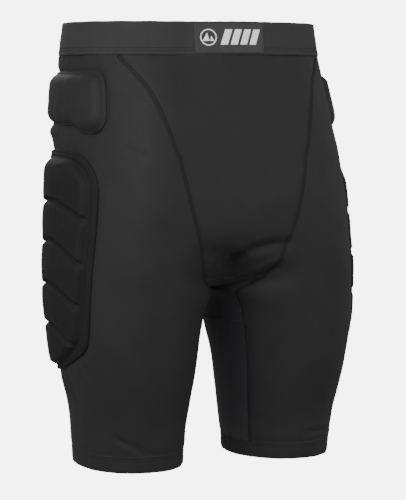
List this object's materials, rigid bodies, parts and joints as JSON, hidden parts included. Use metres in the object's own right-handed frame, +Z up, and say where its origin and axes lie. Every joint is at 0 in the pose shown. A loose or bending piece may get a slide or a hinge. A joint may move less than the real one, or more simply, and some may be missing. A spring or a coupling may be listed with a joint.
{
  "type": "padded impact shorts",
  "caption": "Close-fitting knit shorts with moulded foam pads on the hips, thighs and tailbone, an elastic waistband and two hinged leg tubes.",
  "frame": {"origin": "centre of the waist opening, in the plane of the waistband's top edge", "axes": "+Z up along the body, front of the shorts towards -Y, +X towards the wearer's left"},
  "size_m": [0.3584, 0.2633, 0.4803],
  "materials": {
    "knit": "matt charcoal stretch knit",
    "smooth_knit": "smooth charcoal stretch knit, slightly lustrous",
    "waistband": "brushed charcoal elastic waistband",
    "elastic": "woven rubber elastic, inside the waistband",
    "label": "satin woven label",
    "seam_thread": "dark flat-lock thread",
    "pad_foam": "knit-faced moulded EVA foam",
    "pad_flange": "stitched pad edge, knit on thin foam",
    "hem": "turned and coverstitched knit hem"
  },
  "bodies": {
    "trunk": {"waistband_casing": "waistband", "waistband_elastic": "elastic", "label_patch": "label", "front_panel": "knit", "seat_panel": "knit", "crotch_gusset": "smooth_knit", "side_panel_left": "knit", "hip_flex_left": "knit", "front_seam_left": "seam_thread", "back_seam_left": "seam_thread", "hip_pad_flange_left": "pad_flange", "hip_pad_block_left": "pad_foam", "side_panel_right": "knit", "hip_flex_right": "knit", "front_seam_right": "seam_thread", "back_seam_right": "seam_thread", "hip_pad_flange_right": "pad_flange", "hip_pad_block_right": "pad_foam", "tail_pad_flange": "pad_flange", "tail_pad_block_1": "pad_foam", "tail_pad_block_2": "pad_foam", "tail_pad_block_3": "pad_foam"},
    "left_leg": {"outer_leg_panel_left": "knit", "inner_leg_panel_left": "smooth_knit", "gusset_wing_left": "smooth_knit", "hem_band_left": "hem", "inseam_front_left": "seam_thread", "inseam_back_left": "seam_thread", "thigh_pad_flange_left": "pad_flange", "thigh_pad_block_left_1": "pad_foam", "thigh_pad_block_left_2": "pad_foam", "thigh_pad_block_left_3": "pad_foam", "thigh_pad_block_left_4": "pad_foam", "thigh_pad_block_left_5": "pad_foam"},
    "right_leg": {"outer_leg_panel_right": "knit", "inner_leg_panel_right": "smooth_knit", "gusset_wing_right": "smooth_knit", "hem_band_right": "hem", "inseam_front_right": "seam_thread", "inseam_back_right": "seam_thread", "thigh_pad_flange_right": "pad_flange", "thigh_pad_block_right_1": "pad_foam", "thigh_pad_block_right_2": "pad_foam", "thigh_pad_block_right_3": "pad_foam", "thigh_pad_block_right_4": "pad_foam", "thigh_pad_block_right_5": "pad_foam"}
  },
  "joints": [
    {"name": "left_hip", "type": "hinge", "parent": "trunk", "child": "left_leg", "pos_m": [0.09, -0.02, -0.19], "axis": [-1, 0, 0], "range_deg": [-8, 25], "deforming": ["hip_flex_left"]},
    {"name": "right_hip", "type": "hinge", "parent": "trunk", "child": "right_leg", "pos_m": [-0.09, -0.02, -0.19], "axis": [-1, 0, 0], "range_deg": [-8, 25], "deforming": ["hip_flex_right"]}
  ]
}
